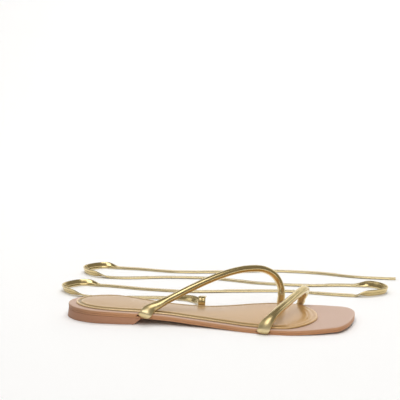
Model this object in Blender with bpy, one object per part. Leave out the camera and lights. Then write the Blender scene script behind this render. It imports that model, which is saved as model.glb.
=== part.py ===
"""Flat gladiator sandal with a square toe, for the right foot.

The sandal stands empty on its sole. X runs from heel to toe, Y towards the inner (medial) side
of the foot and Z up. The origin is on the floor, in the middle of the sandal's box. Metres.
"""

import math

import bmesh
import bpy
import numpy as np
from mathutils import Matrix, Vector

# Sole
SOLE_LENGTH = 0.250
BALL_WIDTH = 0.0868
HEEL_RISE = 0.0076
TOE_SPRING = 0.0025
OUTSOLE_THICKNESS = 0.0015
FOOTBED_THICKNESS = 0.0028
INSOLE_THICKNESS = 0.0016
HEEL_BLOCK_LENGTH = 0.0625
BREAST_SLANT = 0.0070
EDGE_ROUNDING = 0.0004
OUTSOLE_INSET = 0.0002
HEEL_FLARE = 0.0012
INSOLE_MARGIN = 0.0026
INSOLE_HEEL_MARGIN = 0.0065
INSOLE_LENGTH = 0.2125
INSOLE_ROLL = 0.0008
LAYER_GAP = 0.0003

# Straps: round padded tubes of leather whose ends are pressed flat round the footbed's edge
STRAP_WIDTH = 0.0066
STRAP_THICKNESS = 0.0062
STRAP_END_WIDTH = 0.0105
STRAP_TURN_LENGTH = 0.010
STRAP_SQUARENESS = 2.1
STRAP_END_SQUARENESS = 3.5
INSTEP_STRAP_RISE = 0.0330
TOE_STRAP_RISE = 0.0190
INSTEP_STRAP_LEAN = math.radians(-10.0)
TOE_STRAP_LEAN = math.radians(23.0)

# Tie: a flat folded ribbon, wound up the leg in use and laid on the floor here
TIE_WIDTH = 0.0065
TIE_THICKNESS = 0.0015
TIE_LENGTH = 1.150
TIE_ROOT_RISE = 0.0030
TIE_ROOT_BEND = 0.0040
TIE_SQUARENESS = 4.0
TIE_LYING_HEIGHT = 0.0034

# Ends of straps and tie, tucked between footbed and outsole
TAB_THICKNESS = 0.0012
TAB_REACH = 0.0090
WRAP_THICKNESS = 0.0018
WRAP_RADIUS = 0.0013
STRAP_SIDE_RISE = 0.0010
POCKET_CLEARANCE = 0.0005
SEAT_GAP = 0.0003

# Last's outline. along: share of SOLE_LENGTH from the back of the heel. lateral and medial: reach of
# the outer and inner edge from the middle line, as shares of BALL_WIDTH.
OUTLINE_COLUMNS = ("along", "lateral", "medial")
OUTLINE = (
    (0.00, 0.325, 0.280),
    (0.14, 0.337, 0.293),
    (0.20, 0.338, 0.268),
    (0.28, 0.323, 0.200),
    (0.36, 0.317, 0.161),
    (0.46, 0.343, 0.188),
    (0.56, 0.393, 0.315),
    (0.64, 0.452, 0.441),
    (0.72, 0.494, 0.497),
    (0.78, 0.500, 0.500),
    (0.86, 0.466, 0.478),
    (0.94, 0.388, 0.415),
    (1.00, 0.335, 0.365),
)

# Rise of the sole's underside. along: share of SOLE_LENGTH. heel: share of HEEL_RISE.
# toe: share of TOE_SPRING. Both are nought under the ball, where the sole lies flat on the floor.
RISE_COLUMNS = ("along", "heel", "toe")
RISE = (
    (0.00, 1.00, 0.00),
    (0.12, 0.92, 0.00),
    (0.26, 0.76, 0.00),
    (0.36, 0.55, 0.00),
    (0.46, 0.29, 0.00),
    (0.56, 0.09, 0.00),
    (0.65, 0.00, 0.00),
    (0.78, 0.00, 0.00),
    (0.90, 0.00, 0.42),
    (1.00, 0.00, 1.00),
)

# How the outline closes at the heel and at the toe, as a superellipse on each side.
HEEL_ARC = {"from": 0.14, "middle": -0.023, "lateral_power": 2.0, "medial_power": 2.0}
TOE_ARC = {"from": 0.94, "middle": 0.125, "lateral_power": 2.0, "medial_power": 2.4}
INSOLE_TOE_ARC = {"from": 0.755, "middle": -0.045, "lateral_power": 2.0, "medial_power": 2.0}

# Where each strap leaves the footbed, as shares of SOLE_LENGTH.
INSTEP_STRAP_ENDS = {"lateral": 0.285, "medial": 0.731}
TOE_STRAP_ENDS = {"lateral": 0.702, "medial": 0.799}
TIE_END = 0.460

# Length over which each flat end grows into the round strap, in metres.
INSTEP_STRAP_FLARES = {"lateral": 0.045, "medial": 0.012}
TOE_STRAP_FLARES = {"lateral": 0.013, "medial": 0.010}

# Middle line of each strap in its own plane. across: share of the way from its lateral edge to its
# medial edge. up: share of the strap's rise above the rim.
ROUTE_COLUMNS = ("across", "up")
INSTEP_STRAP_ROUTE = (
    (0.046, 0.112),
    (0.084, 0.172),
    (0.121, 0.228),
    (0.194, 0.340),
    (0.342, 0.570),
    (0.491, 0.775),
    (0.641, 0.933),
    (0.760, 0.995),
    (0.866, 0.980),
    (0.925, 0.905),
    (0.968, 0.790),
    (0.998, 0.625),
    (1.013, 0.440),
    (1.013, 0.240),
)
TOE_STRAP_ROUTE = (
    (-0.028, 0.260),
    (0.015, 0.450),
    (0.080, 0.620),
    (0.170, 0.730),
    (0.310, 0.835),
    (0.455, 0.910),
    (0.595, 0.965),
    (0.745, 1.000),
    (0.880, 0.955),
    (0.985, 0.760),
    (1.026, 0.510),
    (1.022, 0.270),
)

# The tie's middle line on the floor behind the inner side, from its root: x and y in metres, and how
# far it still hangs above TIE_LYING_HEIGHT.
TIE_ROUTE = (
    (-0.0100, 0.0220, 0.0096),
    (-0.0105, 0.0310, 0.0084),
    (-0.0140, 0.0420, 0.0038),
    (-0.0240, 0.0545, 0.0004),
    (-0.0450, 0.0620, 0.0000),
    (-0.0800, 0.0600, 0.0000),
    (-0.1150, 0.0570, 0.0000),
    (-0.1400, 0.0640, 0.0000),
    (-0.1510, 0.0810, 0.0000),
    (-0.1400, 0.0985, 0.0000),
    (-0.1150, 0.1010, 0.0000),
    (-0.0750, 0.0930, 0.0000),
    (-0.0300, 0.0900, 0.0000),
    (0.0150, 0.0980, 0.0000),
    (0.0600, 0.1040, 0.0000),
    (0.1050, 0.0970, 0.0000),
    (0.1370, 0.0970, 0.0000),
    (0.1520, 0.1120, 0.0000),
    (0.1430, 0.1290, 0.0000),
    (0.1180, 0.1350, 0.0000),
    (0.0750, 0.1290, 0.0000),
    (0.0300, 0.1320, 0.0000),
    (-0.0150, 0.1440, 0.0000),
    (-0.0600, 0.1430, 0.0000),
    (-0.1050, 0.1340, 0.0000),
    (-0.1350, 0.1390, 0.0000),
    (-0.1480, 0.1560, 0.0000),
    (-0.1350, 0.1730, 0.0000),
    (-0.1000, 0.1740, 0.0000),
    (-0.0550, 0.1670, 0.0000),
    (-0.0100, 0.1730, 0.0000),
    (0.0350, 0.1840, 0.0000),
    (0.0800, 0.1820, 0.0000),
    (0.1250, 0.1700, 0.0000),
    (0.1600, 0.1680, 0.0000),
)

# Mesh fineness. EDGE_STEP: share of SOLE_LENGTH over which an edge's direction is taken.
SOLE_STATIONS = 30
ARC_STATIONS = 7
STRAP_STATIONS = 58
STRAP_SIDES = 14
WRAP_STEPS = 4
ROOT_STEPS = 5
CURVE_STEPS = 12
EDGE_STEP = 0.004
TIE_SPACING = 0.0148

# Colours: linear red, green, blue
GOLD = (0.62, 0.46, 0.19)
NUDE = (0.62, 0.43, 0.34)
TAN = (0.44, 0.24, 0.14)


def clear_scene():
    for item in list(bpy.data.objects):
        bpy.data.objects.remove(item, do_unlink=True)


def material(name, colour, roughness, metallic):
    made = bpy.data.materials.new(name)
    made.use_nodes = True
    shader = made.node_tree.nodes["Principled BSDF"]
    shader.inputs["Base Color"].default_value = (*colour, 1.0)
    shader.inputs["Roughness"].default_value = roughness
    shader.inputs["Metallic"].default_value = metallic
    return made


def add_object(name, vertices, faces, colour, roughness, metallic):
    mesh = bpy.data.meshes.new(name)
    mesh.from_pydata([tuple(point) for point in vertices], [], faces)
    mesh.validate()
    made = bpy.data.objects.new(name, mesh)
    bpy.context.scene.collection.objects.link(made)
    face_outwards(mesh)
    mesh.shade_smooth()
    mesh.set_sharp_from_angle(angle=math.radians(40.0))
    mesh.materials.append(material(name, colour, roughness, metallic))
    return made


def face_outwards(mesh):
    work = bmesh.new()
    work.from_mesh(mesh)
    bmesh.ops.recalc_face_normals(work, faces=work.faces)
    work.to_mesh(mesh)
    work.free()


def smooth_column(table, column):
    """A function through one column of a table that never swings past its rows."""
    along = np.array([row[0] for row in table])
    value = np.array([row[column] for row in table])
    steps = np.diff(along)
    slopes = np.diff(value) / steps
    tangents = np.zeros(len(along))
    tangents[0] = slopes[0]
    tangents[-1] = slopes[-1]
    for row in range(1, len(along) - 1):
        before, after = slopes[row - 1], slopes[row]
        if before * after > 0.0:
            weights = (steps[row] * 2 + steps[row - 1], steps[row] + steps[row - 1] * 2)
            tangents[row] = sum(weights) / (weights[0] / before + weights[1] / after)

    def read(share):
        row = int(np.clip(np.searchsorted(along, share) - 1, 0, len(steps) - 1))
        part = (share - along[row]) / steps[row]
        keep = 1 - part
        return float(
            value[row] * (1 + 2 * part) * keep**2
            + tangents[row] * steps[row] * part * keep**2
            + value[row + 1] * part**2 * (3 - 2 * part)
            - tangents[row + 1] * steps[row] * part**2 * keep
        )

    return read


LATERAL_REACH = smooth_column(OUTLINE, OUTLINE_COLUMNS.index("lateral"))
MEDIAL_REACH = smooth_column(OUTLINE, OUTLINE_COLUMNS.index("medial"))
HEEL_SHARE = smooth_column(RISE, RISE_COLUMNS.index("heel"))
TOE_SHARE = smooth_column(RISE, RISE_COLUMNS.index("toe"))


def x_at(share):
    """Place along the foot, with 0 halfway between the last's two ends."""
    return (share - 0.5) * SOLE_LENGTH


def share_at(x):
    return x / SOLE_LENGTH + 0.5


def underside(x):
    """Height of the outsole's underside above the floor."""
    share = min(max(share_at(x), 0.0), 1.0)
    return HEEL_RISE * HEEL_SHARE(share) + TOE_SPRING * TOE_SHARE(share)


def footbed_underside(x):
    return underside(x) + OUTSOLE_THICKNESS + LAYER_GAP


def rim(x):
    """Height of the footbed's top."""
    return footbed_underside(x) + FOOTBED_THICKNESS


def closing(depth, power):
    """Share of the width left at a depth of 0 to 1 into a rounded end."""
    return max(0.0, 1.0 - depth**power) ** (1.0 / power)


def edge_y(share, side):
    """The last's edge at a share of its length. side is lateral or medial."""
    reach = -LATERAL_REACH(share) if side == "lateral" else MEDIAL_REACH(share)
    if share < HEEL_ARC["from"]:
        depth = 1.0 - share / HEEL_ARC["from"]
        middle = HEEL_ARC["middle"]
        reach = middle + (reach - middle) * closing(depth, HEEL_ARC[side + "_power"])
    if share > TOE_ARC["from"]:
        depth = (share - TOE_ARC["from"]) / (1.0 - TOE_ARC["from"])
        middle = TOE_ARC["middle"]
        reach = middle + (reach - middle) * closing(depth, TOE_ARC[side + "_power"])
    return reach * BALL_WIDTH


def stations(arc_start, arc_end):
    """Shares from heel to toe, close together in both rounded ends."""
    quarter = [math.pi / 2 * step / ARC_STATIONS for step in range(ARC_STATIONS)]
    heel = [arc_start * (1.0 - math.cos(angle)) for angle in quarter]
    toe = [1.0 - (1.0 - arc_end) * (1.0 - math.cos(angle)) for angle in reversed(quarter)]
    middle = np.linspace(arc_start, arc_end, SOLE_STATIONS)
    return heel + [float(share) for share in middle] + toe


def last_outline():
    """Ring of (x, y): heel tip, lateral side, toe tip, medial side."""
    shares = stations(HEEL_ARC["from"], TOE_ARC["from"])
    lateral = [(x_at(share), edge_y(share, "lateral")) for share in shares]
    medial = [(x_at(share), edge_y(share, "medial")) for share in shares[1:-1]]
    return lateral + medial[::-1]


def insole_outline():
    """Ring of the sock: inside the last's edge, rounded ahead of the ball."""
    start = INSOLE_HEEL_MARGIN / SOLE_LENGTH
    end = start + INSOLE_LENGTH / SOLE_LENGTH
    arc_start = HEEL_ARC["from"] / end
    arc_end = INSOLE_TOE_ARC["from"] / end
    rows = {"lateral": [], "medial": []}
    for part in stations(arc_start, arc_end):
        share = start + part * (end - start)
        for side in rows:
            sign = -1.0 if side == "lateral" else 1.0
            open_share = min(max(share, HEEL_ARC["from"]), TOE_ARC["from"])
            full = edge_y(open_share, side) - sign * INSOLE_MARGIN
            arc, depth = HEEL_ARC, 1.0 - part / arc_start
            if part > arc_end:
                arc, depth = INSOLE_TOE_ARC, (part - arc_end) / (1.0 - arc_end)
            middle = arc["middle"] * BALL_WIDTH
            narrowing = closing(max(depth, 0.0), arc[side + "_power"])
            rows[side].append((x_at(share), middle + (full - middle) * narrowing))
    return rows["lateral"] + rows["medial"][1:-1][::-1]


def inset_ring(ring, inset):
    """The ring moved in by a distance, along its own normals."""
    moved = []
    for index, (x, y) in enumerate(ring):
        before = ring[index - 1]
        after = ring[(index + 1) % len(ring)]
        run = Vector((after[0] - before[0], after[1] - before[1])).normalized()
        moved.append((x - run.y * inset, y + run.x * inset))
    return moved


def layered_solid(name, rings, colour, roughness, metallic):
    """A solid between rings of equal length. Its two caps run straight across the foot."""
    count = len(rings[0])
    half = count // 2
    vertices = [point for ring in rings for point in ring]
    faces = []
    for level in range(len(rings) - 1):
        base = level * count
        for index in range(count):
            after = (index + 1) % count
            faces.append((base + index, base + after, base + count + after, base + count + index))
    for base in (0, (len(rings) - 1) * count):
        faces.append((base, base + 1, base + count - 1))
        faces.append((base + half, base + half + 1, base + half - 1))
        for step in range(1, half - 1):
            faces.append((base + step, base + step + 1, base + count - step - 1, base + count - step))
    return add_object(name, vertices, faces, colour, roughness, metallic)


def ring_at(outline, inset, height_at, drop=0.0):
    return [(x, y, height_at(x) - drop) for x, y in inset_ring(outline, inset)]


def make_outsole():
    def top(x):
        return underside(x) + OUTSOLE_THICKNESS

    outline = last_outline()
    rings = [
        ring_at(outline, OUTSOLE_INSET, top),
        ring_at(outline, OUTSOLE_INSET, underside, -EDGE_ROUNDING),
        ring_at(outline, OUTSOLE_INSET + EDGE_ROUNDING, underside),
    ]
    return layered_solid("outsole", rings, TAN, 0.55, 0.0)


def make_heel():
    """Low heel block under the outsole, with a breast that slants back to the floor."""
    top_end = share_at(x_at(0.0) + HEEL_BLOCK_LENGTH + BREAST_SLANT)
    low_end = share_at(x_at(0.0) + HEEL_BLOCK_LENGTH)
    parts = stations(HEEL_ARC["from"] / top_end, 1.0)
    parts = parts[: -ARC_STATIONS]
    rings = []
    for end, is_top in ((top_end, True), (low_end, False)):
        flare_out = 0.0 if is_top else HEEL_FLARE
        rows = {"lateral": [], "medial": []}
        for part in parts:
            share = part * end
            for side in rows:
                y = edge_y(share, side)
                x = x_at(share) - flare_out * (1.0 - part)
                height = underside(x) - LAYER_GAP if is_top else 0.0
                rows[side].append((x, y, height))
        rings.append(rows["lateral"] + rows["medial"][1:][::-1])
    return heel_solid("heel", rings)


def heel_solid(name, rings):
    """The heel's two rings end in a straight breast, so their last rung is a wall."""
    count = len(rings[0])
    half = (count + 1) // 2
    vertices = rings[0] + rings[1]
    faces = []
    for index in range(count):
        after = (index + 1) % count
        faces.append((index, after, count + after, count + index))
    for base in (0, count):
        faces.append((base, base + 1, base + count - 1))
        for step in range(1, half - 1):
            faces.append((base + step, base + step + 1, base + count - step - 1, base + count - step))
    return add_object(name, vertices, faces, TAN, 0.5, 0.0)


def make_footbed():
    outline = last_outline()
    rings = [
        ring_at(outline, EDGE_ROUNDING, rim),
        ring_at(outline, 0.0, rim, EDGE_ROUNDING),
        ring_at(outline, 0.0, footbed_underside),
    ]
    return layered_solid("footbed", rings, NUDE, 0.5, 0.0)


def make_insole():
    """Padded metallic sock, its edge rolled down to the footbed."""
    def top(x):
        return rim(x) + LAYER_GAP + INSOLE_THICKNESS

    outline = insole_outline()
    corner = INSOLE_ROLL * (1.0 - math.sqrt(0.5))
    rings = [
        ring_at(outline, INSOLE_ROLL, top),
        ring_at(outline, corner, top, corner),
        ring_at(outline, 0.0, top, INSOLE_ROLL),
        ring_at(outline, 0.0, top, INSOLE_THICKNESS),
    ]
    return layered_solid("insole", rings, GOLD, 0.4, 0.8)


def root_frame(share, side):
    """Point on the footbed's lower edge, with its run forwards, its way out and its way up."""
    here = Vector((x_at(share), edge_y(share, side), footbed_underside(x_at(share))))
    ends = []
    for at in (share - EDGE_STEP, share + EDGE_STEP):
        ends.append(Vector((x_at(at), edge_y(at, side), footbed_underside(x_at(at)))))
    run = (ends[1] - ends[0]).normalized()
    out = Vector((run.y, -run.x, 0.0)).normalized()
    if side == "medial":
        out = -out
    up = run.cross(out)
    if up.z < 0.0:
        up = -up
    return {"at": here, "run": run, "out": out, "up": up.normalized()}


def flare(distance, length):
    """0 at the footbed's rim, 1 where the strap has its full round section."""
    part = min(max(distance / length, 0.0), 1.0)
    return part * part * (3.0 - 2.0 * part)


def wrapped_end(root, wrap_thickness, above_rim):
    """Middle line from the tab's inner end, round the footbed's lower edge and up its side."""
    def place(out, up):
        return root["at"] + root["out"] * out + root["up"] * up

    side_out = SEAT_GAP + wrap_thickness / 2
    tab_up = TAB_THICKNESS / 2
    points = [place(-TAB_REACH, tab_up), place(-TAB_REACH / 2, tab_up)]
    for step in range(WRAP_STEPS + 1):
        angle = math.pi / 2 * step / WRAP_STEPS
        out = side_out - WRAP_RADIUS + WRAP_RADIUS * math.sin(angle)
        up = tab_up + WRAP_RADIUS - WRAP_RADIUS * math.cos(angle)
        points.append(place(out, up))
    points.append(place(side_out, FOOTBED_THICKNESS + above_rim))
    return points


def smooth_path(points):
    """Catmull-Rom curve through the points, spaced by the distance between them."""
    knots = [0.0]
    for before, after in zip(points, points[1:]):
        knots.append(knots[-1] + (after - before).length ** 0.5)
    first = points[0] * 2 - points[1]
    last = points[-1] * 2 - points[-2]
    around = [first, *points, last]
    knots = [knots[0] - (knots[1] - knots[0]), *knots, knots[-1] + (knots[-1] - knots[-2])]
    path = []
    for index in range(1, len(points)):
        nearby = around[index - 1 : index + 3]
        times = knots[index - 1 : index + 3]
        for step in range(CURVE_STEPS):
            at = times[1] + (times[2] - times[1]) * step / CURVE_STEPS
            path.append(catmull_rom(nearby, times, at))
    path.append(points[-1])
    return path


def catmull_rom(points, times, at):
    def blend(one, two, start, end):
        return (one * (end - at) + two * (at - start)) / (end - start)

    first = [blend(points[i], points[i + 1], times[i], times[i + 1]) for i in range(3)]
    second = [blend(first[i], first[i + 1], times[i], times[i + 2]) for i in range(2)]
    return blend(second[0], second[1], times[1], times[2])


def lengths_along(path):
    total = [0.0]
    for before, after in zip(path, path[1:]):
        total.append(total[-1] + (after - before).length)
    return total


def point_at(path, lengths, distance):
    index = int(np.clip(np.searchsorted(lengths, distance), 1, len(path) - 1))
    span = lengths[index] - lengths[index - 1]
    part = (distance - lengths[index - 1]) / span
    return path[index - 1].lerp(path[index], part)


def sweep(name, path, sizes, width_ways, colour, roughness, metallic):
    """A strap along a path. sizes holds a width, a thickness and a squareness for each point."""
    vertices, faces = [], []
    for index, centre in enumerate(path):
        before = path[max(index - 1, 0)]
        after = path[min(index + 1, len(path) - 1)]
        ahead = (after - before).normalized()
        inner = ahead.cross(width_ways[index]).normalized()
        across = inner.cross(ahead).normalized()
        width, thickness, squareness = sizes[index]
        for corner in range(STRAP_SIDES):
            angle = 2 * math.pi * corner / STRAP_SIDES
            cosine, sine = math.cos(angle), math.sin(angle)
            along_width = math.copysign(abs(cosine) ** (2 / squareness), cosine) * width / 2
            along_depth = math.copysign(abs(sine) ** (2 / squareness), sine) * thickness / 2
            vertices.append(centre + across * along_width + inner * along_depth)
    for ring in range(len(path) - 1):
        base = ring * STRAP_SIDES
        for corner in range(STRAP_SIDES):
            after = (corner + 1) % STRAP_SIDES
            faces.append((base + corner, base + after, base + STRAP_SIDES + after,
                          base + STRAP_SIDES + corner))
    faces.append(tuple(range(STRAP_SIDES)))
    faces.append(tuple(range((len(path) - 1) * STRAP_SIDES, len(path) * STRAP_SIDES)))
    return add_object(name, vertices, faces, colour, roughness, metallic)


def make_strap(name, ends, flares, route, rise, lean):
    """A padded strap over the foot, tucked in at both edges of the footbed."""
    roots = {side: root_frame(ends[side], side) for side in ends}
    rims = {side: roots[side]["at"] + roots[side]["up"] * FOOTBED_THICKNESS for side in roots}
    span = rims["medial"] - rims["lateral"]
    forward = Vector((span.y, -span.x, 0.0)).normalized()
    upward = Vector((0.0, 0.0, math.cos(lean))) + forward * math.sin(lean)
    width_way = span.cross(upward).normalized()
    air = []
    for values in route:
        row = dict(zip(ROUTE_COLUMNS, values))
        air.append(rims["lateral"] + span * row["across"] + upward * (row["up"] * rise))
    start = wrapped_end(roots["lateral"], WRAP_THICKNESS, STRAP_SIDE_RISE)
    finish = wrapped_end(roots["medial"], WRAP_THICKNESS, STRAP_SIDE_RISE)[::-1]
    fine = start[:-1] + smooth_path([start[-1], *air, finish[0]]) + finish[1:]
    lengths = lengths_along(fine)
    lateral_rim = lengths[len(start) - 1]
    medial_rim = lengths[-1] - lengths[len(start) - 1]
    air_distances = np.linspace(lateral_rim, medial_rim, STRAP_STATIONS)
    distances = lengths[: len(start) - 1] + list(air_distances) + lengths[1 - len(start) :]
    path, sizes, ways = [], [], []
    for distance in distances:
        path.append(point_at(fine, lengths, distance))
        inside = min(distance - lateral_rim, medial_rim - distance)
        side = "lateral" if distance < lengths[-1] / 2 else "medial"
        sizes.append(strap_section(inside, flares[side]))
        turned = flare(inside, flares[side] + STRAP_TURN_LENGTH)
        ways.append(roots[side]["run"].lerp(width_way, turned))
    return sweep(name, path, sizes, ways, GOLD, 0.3, 0.9)


def strap_section(inside, flare_length):
    """Width, thickness and squareness at a distance past the footbed's rim."""
    full = flare(inside, flare_length)
    tucked = min(max(-inside / FOOTBED_THICKNESS, 0.0), 1.0)
    width = STRAP_END_WIDTH + (STRAP_WIDTH - STRAP_END_WIDTH) * full
    flat = WRAP_THICKNESS + (TAB_THICKNESS - WRAP_THICKNESS) * tucked
    thickness = flat + (STRAP_THICKNESS - flat) * full
    squareness = STRAP_END_SQUARENESS + (STRAP_SQUARENESS - STRAP_END_SQUARENESS) * full
    return width, thickness, squareness


def make_tie_root():
    """Fixed end of the tie: up the inner side of the footbed, then bent out over the floor."""
    root = root_frame(TIE_END, "medial")
    points = wrapped_end(root, TIE_THICKNESS, TIE_ROOT_RISE)
    bend_start = points[-1]
    for step in range(1, ROOT_STEPS + 1):
        angle = math.pi / 2 * step / ROOT_STEPS
        out = TIE_ROOT_BEND * (1.0 - math.cos(angle))
        up = TIE_ROOT_BEND * math.sin(angle)
        points.append(bend_start + root["out"] * out + root["up"] * up)
    tab = [(TIE_WIDTH, TAB_THICKNESS, TIE_SQUARENESS)] * WRAP_STEPS
    sizes = tab + [(TIE_WIDTH, TIE_THICKNESS, TIE_SQUARENESS)] * (len(points) - len(tab))
    ways = [-root["run"]] * len(points)
    return sweep("tie_root", points, sizes, ways, GOLD, 0.3, 0.9)


def pocket_cutter(name, root, width):
    """Box that clears a tab under the footbed, open at the footbed's edge."""
    half = width / 2 + POCKET_CLEARANCE
    low, high = -FOOTBED_THICKNESS / 2, TAB_THICKNESS + POCKET_CLEARANCE
    deep, proud = -TAB_REACH - POCKET_CLEARANCE, FOOTBED_THICKNESS
    vertices = []
    for up in (low, high):
        for out, along in ((deep, -half), (proud, -half), (proud, half), (deep, half)):
            vertices.append(root["at"] + root["out"] * out + root["run"] * along + root["up"] * up)
    faces = [(0, 1, 2, 3), (4, 5, 6, 7), (0, 1, 5, 4), (1, 2, 6, 5), (2, 3, 7, 6), (3, 0, 4, 7)]
    cutter = add_object(name, vertices, faces, TAN, 0.5, 0.0)
    cutter.hide_render = True
    cutter.display_type = "WIRE"
    return cutter


def cut_pockets(footbed):
    cuts = []
    for strap, ends in (("instep", INSTEP_STRAP_ENDS), ("toe", TOE_STRAP_ENDS)):
        for side, share in ends.items():
            cuts.append((strap + "_" + side, root_frame(share, side), STRAP_END_WIDTH))
    cuts.append(("tie", root_frame(TIE_END, "medial"), TIE_WIDTH))
    for name, root, width in cuts:
        pocket = footbed.modifiers.new(name + "_pocket", "BOOLEAN")
        pocket.operation = "DIFFERENCE"
        pocket.solver = "EXACT"
        pocket.object = pocket_cutter(name + "_cutter", root, width)


def make_leg_tie():
    """The free length of the tie, as a plain round cord as thick as the ribbon is wide."""
    path = smooth_path([Vector((x, y, TIE_LYING_HEIGHT + lift)) for x, y, lift in TIE_ROUTE])
    lengths = lengths_along(path)
    length = min(TIE_LENGTH, lengths[-1])
    count = round(length / TIE_SPACING)
    curve = bpy.data.curves.new("leg_tie", "CURVE")
    curve.dimensions = "3D"
    curve.bevel_depth = TIE_WIDTH / 2
    curve.bevel_resolution = 2
    curve.use_fill_caps = True
    spline = curve.splines.new("POLY")
    spline.points.add(count)
    for index, knot in enumerate(spline.points):
        knot.co = (*point_at(path, lengths, length * index / count), 1.0)
    curve.materials.append(material("leg_tie", GOLD, 0.3, 0.9))
    made = bpy.data.objects.new("leg_tie", curve)
    bpy.context.scene.collection.objects.link(made)
    return made


def centre_on_origin():
    """Move all pieces so that the box of the sandal, its loose tie apart, stands on the origin."""
    meshes = [item.data for item in bpy.data.objects if item.type == "MESH"]
    solid = [item for item in bpy.data.objects if item.type == "MESH" and not item.hide_render]
    points = np.array([vertex.co for item in solid for vertex in item.data.vertices])
    low, high = points.min(axis=0), points.max(axis=0)
    shift = Vector((-(low[0] + high[0]) / 2, -(low[1] + high[1]) / 2, -low[2]))
    for data in meshes + list(bpy.data.curves):
        data.transform(Matrix.Translation(shift))


def main():
    clear_scene()
    make_outsole()
    make_heel()
    cut_pockets(make_footbed())
    make_insole()
    make_strap("instep_strap", INSTEP_STRAP_ENDS, INSTEP_STRAP_FLARES, INSTEP_STRAP_ROUTE,
               INSTEP_STRAP_RISE, INSTEP_STRAP_LEAN)
    make_strap("toe_strap", TOE_STRAP_ENDS, TOE_STRAP_FLARES, TOE_STRAP_ROUTE,
               TOE_STRAP_RISE, TOE_STRAP_LEAN)
    make_tie_root()
    make_leg_tie()
    centre_on_origin()


main()
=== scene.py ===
# %% [markdown]
# # A flat lace-up sandal with a square toe
# This lesson dresses the plain solids of one sandal, for the right foot. A maker would put it
# together from a leather outsole, a low heel, a board wrapped in nude leather, a padded gold sock,
# two rolled gold straps and one long gold tie. Every piece here stays where its solid is, so first
# the solids are loaded and the footbed's box is found.

# %% Load the solids
import math

import bpy
import numpy as np
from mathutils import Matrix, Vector, noise


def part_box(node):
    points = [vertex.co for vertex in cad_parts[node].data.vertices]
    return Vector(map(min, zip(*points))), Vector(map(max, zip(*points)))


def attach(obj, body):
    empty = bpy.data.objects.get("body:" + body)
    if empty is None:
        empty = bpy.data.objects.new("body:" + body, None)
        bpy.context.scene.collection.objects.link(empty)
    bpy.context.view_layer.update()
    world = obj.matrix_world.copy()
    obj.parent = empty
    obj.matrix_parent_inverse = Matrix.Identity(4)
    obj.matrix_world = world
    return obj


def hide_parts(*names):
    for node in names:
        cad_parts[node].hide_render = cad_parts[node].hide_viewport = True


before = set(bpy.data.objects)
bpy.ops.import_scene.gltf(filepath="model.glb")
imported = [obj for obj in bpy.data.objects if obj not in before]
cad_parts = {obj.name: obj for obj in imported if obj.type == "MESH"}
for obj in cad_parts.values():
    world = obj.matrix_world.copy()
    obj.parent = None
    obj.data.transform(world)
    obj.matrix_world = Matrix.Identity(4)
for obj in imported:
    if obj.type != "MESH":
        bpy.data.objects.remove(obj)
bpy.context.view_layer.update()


def mm(value):
    return round(value * 1000, 2)


print("solids:", ", ".join(sorted(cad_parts)))
footbed_low, footbed_high = (Vector(corner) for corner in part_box("footbed"))
middle = (footbed_low + footbed_high) / 2
print("middle of the footbed, mm:", [mm(value) for value in middle])

# %% [markdown]
# ## Camera
# The camera stands where the photo was taken from: low, a little ahead of the shoe's middle and
# turned back towards the heel. Its place was found from the two edges of the sole, near and far.
# A long lens keeps the sole's edges almost parallel, as in the photo.

# %% Place the camera
CAMERA_PLACE = (0.1479, -1.0885, 0.3028)
CAMERA_YAW = math.radians(8.17)
CAMERA_PITCH = math.radians(10.21)
CAMERA_LENS = 117.0

camera_data = bpy.data.cameras.new("camera")
camera_data.lens = CAMERA_LENS
camera_data.sensor_width = 36.0
camera_data.clip_start = 0.01
camera_data.clip_end = 50.0
camera = bpy.data.objects.new("camera", camera_data)
camera.location = CAMERA_PLACE
camera.rotation_euler = (math.pi / 2 - CAMERA_PITCH, 0.0, CAMERA_YAW)
bpy.context.scene.collection.objects.link(camera)
bpy.context.scene.camera = camera
print("camera at", [round(value, 3) for value in camera.location])

# %% [markdown]
# ## Helpers for smooth lines
# Listed points need a smooth line through them. A Catmull-Rom curve passes through each point,
# and spacing its knots by the root of the distance stops it from looping where points are close.

# %% Smooth lines
def clamp(part):
    return min(max(part, 0.0), 1.0)


def ease(part):
    part = clamp(part)
    return part * part * (3.0 - 2.0 * part)


def bell(away, spread):
    return math.exp(-((away / spread) ** 2))


def blend(one, two, start, end, at):
    return (one * (end - at) + two * (at - start)) / (end - start)


def smooth_path(points, steps):
    """steps: how many new points stand for each stretch between two given ones."""
    knots = [0.0]
    for before, after in zip(points, points[1:]):
        knots.append(knots[-1] + (after - before).length ** 0.5)
    around = [points[0] * 2 - points[1], *points, points[-1] * 2 - points[-2]]
    knots = [2 * knots[0] - knots[1], *knots, 2 * knots[-1] - knots[-2]]
    path = []
    for index in range(1, len(points)):
        near, times = around[index - 1 : index + 3], knots[index - 1 : index + 3]
        for step in range(steps):
            at = times[1] + (times[2] - times[1]) * step / steps
            first = [blend(near[i], near[i + 1], times[i], times[i + 1], at) for i in range(3)]
            second = [blend(first[i], first[i + 1], times[i], times[i + 2], at) for i in range(2)]
            path.append(blend(second[0], second[1], times[1], times[2], at))
    path.append(points[-1].copy())
    return path


def lengths_along(path):
    total = [0.0]
    for before, after in zip(path, path[1:]):
        total.append(total[-1] + (after - before).length)
    return total


def point_at(path, lengths, distance):
    index = int(np.clip(np.searchsorted(lengths, distance), 1, len(path) - 1))
    part = (distance - lengths[index - 1]) / (lengths[index] - lengths[index - 1])
    return path[index - 1].lerp(path[index], part)


def heading(path, index):
    """The way that a path goes at one of its points."""
    return (path[min(index + 1, len(path) - 1)] - path[max(index - 1, 0)]).normalized()


print("smooth line helpers ready")
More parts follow.
